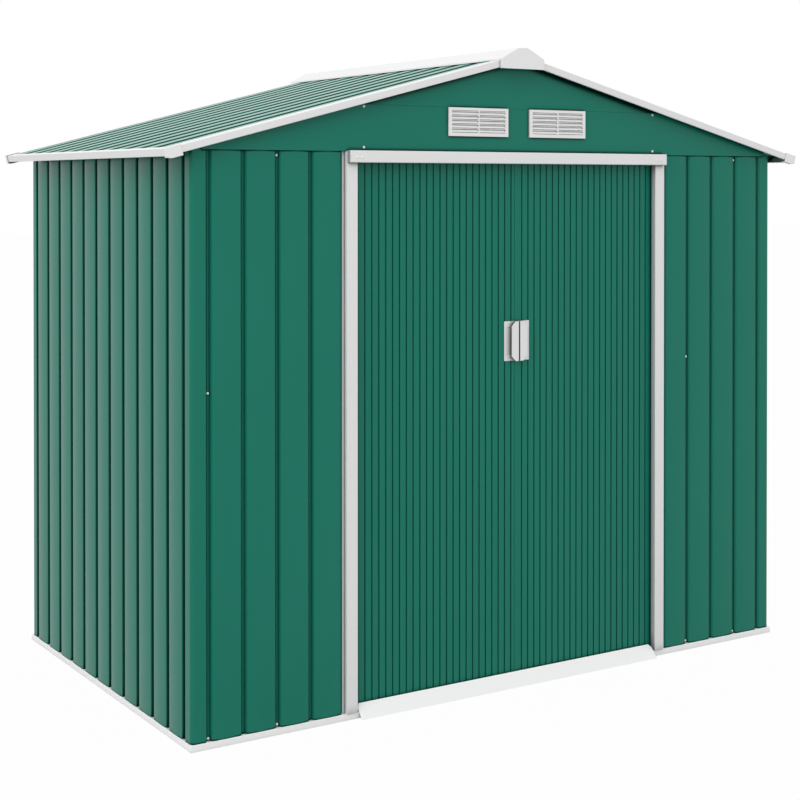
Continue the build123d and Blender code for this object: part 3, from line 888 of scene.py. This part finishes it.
@dataclass
class Walls:
    """Ribbed wall sheets on their base rails, the jambs, and the screws in the grooves."""

    fabric: Fabric
    bench: Bench
    wall_bend: float = 0.0022
    rail_bend: float = 0.0018
    jamb_bend: float = 0.0016
    rail_lip: float = 0.004  # from a base rail's outer face in to the wall sheet
    pitch: float = 0.1
    groove_depth: float = 0.009
    first_groove: float = 0.051  # from the corner in to the front wall's first groove
    side_first_groove: float = 0.0485  # from the front back to a side wall's first groove
    side_grooves: int = 12
    back_first_groove: float = -0.95  # X of the back wall's first groove
    back_grooves: int = 20
    screw_every: int = 2  # every second groove has screws
    screw_low: float = 0.025
    screw_high: float = 1.530
    screw_middle: float = 0.915
    side_screw_drop: float = 0.012  # the side walls' upper screws sit this much lower
    strip_gauge: float = 0.0007
    strip_bend: float = 0.0006
    strip_short: float = 0.0005  # from each end of a jamb to the strip's end
    jamb_foot: float = 0.0165  # from a jamb's front back to its foot on the wall sheet
    flange_rise: float = 0.0045
    flange_reach: float = 0.0075
    cover_lap: float = 0.004
    cover_inset: float = 0.0004
    cover_proud: float = 0.0016
    cover_depth: float = 0.0105

    def build(self) -> None:
        """Make the walls' pieces."""
        walls = ("front_wall_left", "front_wall_right", "left_wall", "right_wall", "back_wall")
        jambs = ("jamb_left", "jamb_right", "door_ramp")
        for names, bend in (
            (walls, self.wall_bend),
            (BASE_RAILS, self.rail_bend),
            (jambs, self.jamb_bend),
        ):
            for name in names:
                self.fabric.fold(name, bend)
        self._front_screws()
        self._side_screws()
        self._back_screws()
        self._jamb_strips()

    def _grooves(self, numbers: Sequence[int], side: int) -> list[float]:
        """X of grooves of the front wall, counted from its outer edge.

        Args:
            numbers: Which grooves, from 0 at the wall's corner.
            side: -1 for the left sheet and 1 for the right one.

        Returns:
            Their places.
        """
        first = self._half_width() - self.first_groove
        return [side * (first - self.pitch * number) for number in numbers]

    def _half_width(self) -> float:
        """Half the distance over the outer faces of the side walls' flat edges."""
        low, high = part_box("base_rail_front")
        return (high.x - low.x) / 2 - self.rail_lip

    def _front_screws(self) -> None:
        """Set the screws in the front sheets' grooves."""
        floor_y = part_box("base_rail_front")[0].y + self.rail_lip + self.groove_depth
        heights = (self.screw_low, self.screw_middle, self.screw_high)
        grooves = {"left": ((0, 2), (0,), (2,)), "right": ((1, 3), (3,), (1,))}
        spots = []
        for name, rows in grooves.items():
            for numbers, z in zip(rows, heights):
                spots += [(x, floor_y, z) for x in self._grooves(numbers, SIDES[name])]
        Screws(self.bench).joined("front_wall_screws", spots, (0, -1, 0), Body.SHED)

    def _side_screws(self) -> None:
        """Set the screws in the side walls' grooves."""
        front_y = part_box("base_rail_front")[0].y + self.rail_lip
        floor_x = self._half_width() - self.groove_depth
        for name, side in SIDES.items():
            spots = [
                (side * floor_x, front_y + self.side_first_groove + self.pitch * number, z)
                for number in range(0, self.side_grooves, self.screw_every)
                for z in (self.screw_low, self.screw_high - self.side_screw_drop)
            ]
            Screws(self.bench).joined(f"{name}_wall_screws", spots, (side, 0, 0), Body.SHED)

    def _back_screws(self) -> None:
        """Set the screws in the back wall's grooves."""
        floor_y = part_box("base_rail_back")[1].y - self.rail_lip - self.groove_depth
        spots = [
            (self.back_first_groove + self.pitch * number, floor_y, z)
            for number in range(0, self.back_grooves, self.screw_every)
            for z in (self.screw_low, self.screw_high)
        ]
        Screws(self.bench).joined("back_wall_screws", spots, (0, 1, 0), Body.SHED)

    def _jamb_strips(self) -> None:
        """Give each jamb a flange on its wall sheet's flat edge, and a cover on its side."""
        for name, side in SIDES.items():
            low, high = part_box(f"jamb_{name}")
            edge = low.x if side < 0 else high.x
            foot_y = low.y + self.jamb_foot
            flange = (
                (edge, foot_y - self.flange_rise),
                (edge, foot_y - self.strip_gauge),
                (edge + side * self.flange_reach, foot_y - self.strip_gauge),
            )
            cover = (
                (edge - side * self.cover_lap, low.y + self.cover_inset),
                (edge + side * self.cover_proud, low.y + self.cover_inset),
                (edge + side * self.cover_proud, low.y + self.cover_depth),
                (edge, low.y + self.cover_depth),
            )
            for kind, corners in (("flange", flange), ("cover", cover)):
                foot, top = low.z + self.strip_short, high.z - self.strip_short
                mesh = self._strip(corners, foot, top)
                self.bench.piece(f"jamb_{name}_{kind}", mesh, Body.SHED, STRIP_WHITE)

    def _strip(
        self, corners: Sequence[tuple[float, float]], low: float, high: float
    ) -> bmesh.types.BMesh:
        """Fold an upright strip of thin sheet.

        Args:
            corners: X and Y of its profile's corners.
            low: Z of its lower end.
            high: Z of its upper end.

        Returns:
            The strip, with its gauge.
        """
        mesh = bmesh.new()
        verts = [mesh.verts.new((x, y, low)) for x, y in corners]
        edges = [mesh.edges.new(pair) for pair in zip(verts, verts[1:])]
        made = bmesh.ops.extrude_edge_only(mesh, edges=edges)["geom"]
        risen = [item for item in made if isinstance(item, bmesh.types.BMVert)]
        bmesh.ops.translate(mesh, verts=risen, vec=(0, 0, high - low))
        bends = [edge for edge in mesh.edges if len(edge.link_faces) == 2]
        rounded(mesh, bends, self.strip_bend)
        bmesh.ops.recalc_face_normals(mesh, faces=mesh.faces)
        bmesh.ops.solidify(mesh, geom=mesh.faces[:], thickness=self.strip_gauge)
        return mesh


@dataclass
class Front:
    """Gables with their vents and lapped upper sheet, and the header over the doors."""

    fabric: Fabric
    bench: Bench
    header_bend: float = 0.0025
    gable_bend: float = 0.0016
    seam_height: float = 1.6705  # Z of the upper sheet's foot
    seam_gauge: float = 0.0006
    seam_half: float = 0.62
    seam_bend: float = 0.6  # rounding of its foot, as a share of its gauge
    seam_spare: float = 0.03  # what is cut off above the gable's top
    seam_short: float = 0.001  # from the gable's top down to the sheet's
    slope: float = 0.257
    vent_round: float = 0.0003
    vent_least: float = 0.0045  # a vent's shorter edges stay sharp
    vent_border: float = 0.0105
    vent_mullion: float = 0.0045
    vent_rows: int = 6
    vent_pitch: float = 0.0123
    vent_slot: float = 0.0032
    hood_height: float = 0.0020
    hood_depth: float = 0.0016
    hood_inset: float = 0.0009  # from the vent's face in to the hood's middle
    gable_screws_x: tuple[float, ...] = (-0.510, 0.5216)
    gable_screws_z: tuple[float, ...] = (1.5538, 1.6655)
    header_screws_x: tuple[float, ...] = (-0.5419, -0.526, 0.526, 0.5419)
    header_screws_z: float = 1.5265

    def build(self) -> None:
        """Make the front's pieces."""
        self.fabric.fold("door_header", self.header_bend)
        for end in ENDS:
            self.fabric.fold(f"{end}_gable", self.gable_bend)
        for end, outward in ENDS.items():
            for side in SIDES:
                vent = f"{end}_vent_{side}"
                self.fabric.soften(vent, self.vent_round, least_length=self.vent_least)
                self._louvres(vent, outward)
            self._upper_sheet(end, outward)
        self._screws()

    def _louvres(self, node: str, outward: int) -> None:
        """Hang a small hood in each slot of a vent, so that only a thin line stays open.

        Args:
            node: The vent.
            outward: -1 on the front gable and 1 on the back one.
        """
        low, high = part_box(node)
        face_y = low.y if outward < 0 else high.y
        middle = (low + high) / 2
        length = (high.x - low.x) / 2 - self.vent_border - self.vent_mullion / 2
        size = (length, self.hood_depth, self.hood_height)
        mesh = bmesh.new()
        for row in range(self.vent_rows):
            z = middle.z + (row - (self.vent_rows - 1) / 2) * self.vent_pitch
            for way in (-1, 1):
                made = bmesh.ops.create_cube(mesh, size=1.0)["verts"]
                bmesh.ops.scale(mesh, vec=size, verts=made)
                x = middle.x + way * (self.vent_mullion + length) / 2
                y = face_y - outward * self.hood_inset
                z_hood = z - (self.vent_slot - self.hood_height) / 2
                bmesh.ops.translate(mesh, verts=made, vec=(x, y, z_hood))
        self.bench.piece(f"{node}_louvres", mesh, Body.SHED, VENT_PLASTIC)

    def _upper_sheet(self, end: str, outward: int) -> None:
        """Lap a thin upper sheet over a gable, from the vents' tops to the roof.

        Args:
            end: Which gable, front or back.
            outward: -1 at the front and 1 at the back.
        """
        low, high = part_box(f"{end}_gable")
        face_y = low.y if outward < 0 else high.y
        mesh = bmesh.new()
        bmesh.ops.create_cube(mesh, size=1.0)
        depth, top = self.seam_gauge, high.z + self.seam_spare
        size = (2 * self.seam_half, depth, top - self.seam_height)
        bmesh.ops.scale(mesh, vec=size, verts=mesh.verts)
        middle = (0, face_y + outward * depth / 2, (top + self.seam_height) / 2)
        bmesh.ops.translate(mesh, verts=mesh.verts, vec=middle)
        for side in (-1, 1):
            cut = bmesh.ops.bisect_plane(
                mesh,
                geom=mesh.verts[:] + mesh.edges[:] + mesh.faces[:],
                dist=1e-7,
                plane_co=(0, 0, high.z - self.seam_short),
                plane_no=(side * self.slope, 0, 1),
                clear_outer=True,
            )
            rim = [item for item in cut["geom_cut"] if isinstance(item, bmesh.types.BMEdge)]
            bmesh.ops.edgeloop_fill(mesh, edges=rim)
        foot_z = self.seam_height + depth / 2
        outer_foot = [
            edge
            for edge in mesh.edges
            if all(v.co.z < foot_z and abs(v.co.y - face_y) > depth / 2 for v in edge.verts)
        ]
        rounded(mesh, outer_foot, depth * self.seam_bend)
        self.bench.piece(f"{end}_gable_upper_sheet", mesh, Body.SHED, GREEN)

    def _screws(self) -> None:
        """Set the gables' and the header's screws."""
        screws = Screws(self.bench)
        for end, outward in ENDS.items():
            low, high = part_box(f"{end}_gable")
            y = low.y if outward < 0 else high.y
            spots = [(x, y, z) for x in self.gable_screws_x for z in self.gable_screws_z]
            screws.joined(f"{end}_gable_screws", spots, (0, outward, 0), Body.SHED)
        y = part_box("door_header")[0].y
        spots = [(x, y, self.header_screws_z) for x in self.header_screws_x]
        screws.joined("header_screws", spots, (0, -1, 0), Body.SHED)


@dataclass
class Roof:
    """Roof sheets, verge and eave trims, corner caps and the ridge."""

    fabric: Fabric
    roof_bend: float = 0.0022
    eave_bend: float = 0.0018
    verge_bend: float = 0.0020
    cap_round: float = 0.0016
    ridge_bend: float = 0.006
    end_round: float = 0.0007
    end_least: float = 0.003  # a ridge end's shorter edges stay sharp

    def build(self) -> None:
        """Make the roof's pieces."""
        for side in SIDES:
            self.fabric.fold(f"roof_{side}", self.roof_bend)
            self.fabric.fold(f"eave_trim_{side}", self.eave_bend)
            for end in ENDS:
                self.fabric.fold(f"verge_{end}_{side}", self.verge_bend)
                self.fabric.soften(f"eave_cap_{end}_{side}", self.cap_round)
        self.fabric.fold("ridge_cap", self.ridge_bend)
        for end in ENDS:
            self.fabric.soften(f"ridge_end_{end}", self.end_round, least_length=self.end_least)


@dataclass
class Doors:
    """The two sliding leaves and their handles."""

    fabric: Fabric
    bench: Bench
    door_bend: float = 0.0008
    handle_bend: float = 0.0016
    plate_gauge: float = 0.0015
    screw_inset: float = 0.0263  # from the handle's edge at the middle of the doorway
    screw_spread: float = 0.0439  # from the handle's middle, up and down
    strip_width: float = 0.012
    strip_gauge: float = 0.0008
    strip_lap: float = 0.0095  # how far the strip reaches past the right door's edge
    strip_lift: float = 0.0002  # between the strip and the door's face
    strip_round: float = 0.4  # rounding of its edges, as a share of its gauge
    strip_end: float = 0.002  # from the door's end to the strip's
    strip_gap: float = 0.001  # between the strip and the handle's plate

    def build(self) -> None:
        """Make the doors' pieces."""
        for side, body in (("left", Body.LEFT_DOOR), ("right", Body.RIGHT_DOOR)):
            self.fabric.fold(f"door_{side}", self.door_bend)
            self.fabric.fold(f"handle_{side}", self.handle_bend)
            self._handle_screws(side, body)
        self._meeting_strip()

    def _meeting_strip(self) -> None:
        """Lay a flat strip on the right door's edge, over the line where the doors meet."""
        door_low, door_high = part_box("door_right")
        plate_low, plate_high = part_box("handle_right")
        reach = Vector((self.strip_width / 2, -self.strip_gauge / 2 - self.strip_lift, 0.0))
        mesh = bmesh.new()
        for low, high in (
            (door_low.z + self.strip_end, plate_low.z - self.strip_gap),
            (plate_high.z + self.strip_gap, door_high.z - self.strip_end),
        ):
            made = bmesh.ops.create_cube(mesh, size=1.0)["verts"]
            size = (self.strip_width, self.strip_gauge, high - low)
            bmesh.ops.scale(mesh, vec=size, verts=made)
            edge_middle = Vector((door_low.x - self.strip_lap, door_low.y, (low + high) / 2))
            bmesh.ops.translate(mesh, verts=made, vec=edge_middle + reach)
            edges = {edge for vert in made for edge in vert.link_edges}
            long_edges = [edge for edge in edges if edge.calc_length() > self.strip_width * 2]
            rounded(mesh, long_edges, self.strip_gauge * self.strip_round)
        self.bench.piece("door_meeting_strip", mesh, Body.RIGHT_DOOR, DOOR_GREEN)

    def _handle_screws(self, side: str, body: Body) -> None:
        """Screw a handle's plate to its door.

        Args:
            side: Which door, left or right.
            body: The body that the handle rides on.
        """
        low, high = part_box(f"handle_{side}")
        middle = (low.z + high.z) / 2
        x = high.x - self.screw_inset if side == "left" else low.x + self.screw_inset
        plate_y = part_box(f"door_{side}")[0].y - self.plate_gauge
        spots = [(x, plate_y, middle + way * self.screw_spread) for way in (-1, 1)]
        Screws(self.bench).joined(f"handle_{side}_screws", spots, (0, -1, 0), body, WHITE)


@dataclass
class Studio:
    """White floor and surroundings, one soft light, and the camera."""

    eye: Point = (-2.73055, -4.28325, 1.4528)
    heading: float = 0.564  # radians from Y towards X
    down: float = 0.0095  # radians below level
    lens: float = 71.334
    sensor: float = 36.0
    nearest: float = 0.05
    farthest: float = 200.0
    axis_row: float = 199.468  # pixels from the image's top down to the camera's axis
    image: float = 800.0
    floor_size: float = 80.0
    ground: float = 0.5
    ground_glow: float = 0.98  # how white the floor looks where it is seen
    sky: float = 1.0
    key_place: Point = (-5.0, -3.0, 4.5)
    key_aim: Point = (0.0, 0.0, 1.0)
    key_size: float = 4.0
    key_power: float = 75.0

    def camera(self) -> None:
        """Stand the camera at the photograph's place."""
        data = bpy.data.cameras.new("camera")
        data.lens = self.lens
        data.sensor_width = self.sensor
        data.shift_y = self.axis_row / self.image - 0.5
        data.clip_start, data.clip_end = self.nearest, self.farthest
        camera = bpy.data.objects.new("camera", data)
        bpy.context.scene.collection.objects.link(camera)
        level = Vector((math.sin(self.heading), math.cos(self.heading), 0.0))
        look = level * math.cos(self.down)
        look.z = -math.sin(self.down)
        camera.location = self.eye
        camera.rotation_euler = look.to_track_quat("-Z", "Y").to_euler()
        bpy.context.scene.camera = camera

    @staticmethod
    def _seen(nodes: Nodes) -> Value:
        """Tell what is seen from what only gives light.

        Args:
            nodes: The material's or world's nodes.

        Returns:
            1 where a surface is seen straight, in a gloss or through glass, otherwise 0.
        """
        path = nodes.add("ShaderNodeLightPath")
        seen = Value(nodes, path.outputs["Is Camera Ray"])
        for name in ("Is Glossy Ray", "Is Transmission Ray"):
            seen = seen.math("MAXIMUM", seen, Value(nodes, path.outputs[name]))
        return seen

    def surroundings(self) -> None:
        """Light the world softly, and show it white."""
        world = bpy.data.worlds.new("studio_world")
        world.use_nodes = True
        bpy.context.scene.world = world
        nodes = Nodes(world.node_tree)
        seen = self._seen(nodes)
        light = nodes.white_light("ShaderNodeBackground", self.sky)
        shown = nodes.white_light("ShaderNodeBackground", 1.0)
        both = nodes.either(seen, light, shown)
        nodes.add("ShaderNodeOutputWorld", None, {"Surface": both.outputs[0]})

    def floor(self) -> None:
        """Lay a white floor that keeps a faint shadow."""
        mesh = bmesh.new()
        bmesh.ops.create_grid(mesh, x_segments=1, y_segments=1, size=self.floor_size / 2)
        data = bpy.data.meshes.new("studio_floor")
        mesh.to_mesh(data)
        mesh.free()
        material = bpy.data.materials.new("studio_floor")
        material.use_nodes = True
        nodes = Nodes(material.node_tree)
        seen = self._seen(nodes)
        matt = nodes.add("ShaderNodeBsdfDiffuse", None, {"Color": (*(self.ground,) * 3, 1.0)})
        white = nodes.white_light("ShaderNodeEmission", 1.0)
        both = nodes.either(seen * self.ground_glow, matt, white)
        nodes.add("ShaderNodeOutputMaterial", None, {"Surface": both.outputs[0]})
        data.materials.append(material)
        floor = bpy.data.objects.new("studio_floor", data)
        bpy.context.scene.collection.objects.link(floor)

    def key_light(self) -> None:
        """Hang one large soft light at the left, high up in front."""
        data = bpy.data.lights.new("key_light", "AREA")
        data.shape = "SQUARE"
        data.size = self.key_size
        data.energy = self.key_power
        light = bpy.data.objects.new("key_light", data)
        bpy.context.scene.collection.objects.link(light)
        light.location = self.key_place
        aim = Vector(self.key_aim) - Vector(self.key_place)
        light.rotation_euler = aim.to_track_quat("-Z", "Y").to_euler()

    def build(self) -> None:
        """Set up the whole studio."""
        self.camera()
        self.surroundings()
        self.floor()
        self.key_light()


def main() -> None:
    """Build and dress the shed, piece by piece."""
    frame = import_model()
    scene = bpy.context.scene
    scene.view_settings.view_transform = "Standard"
    bench = Bench()
    fabric = Fabric(frame, bench)
    fabric.dress()
    walls, front = Walls(fabric, bench), Front(fabric, bench)
    roof, doors = Roof(fabric), Doors(fabric, bench)
    for part in (walls, front, roof, doors):
        part.build()
    Studio().build()


if __name__ == "__main__":
    logging.basicConfig(level=logging.INFO, format="%(message)s")
    main()
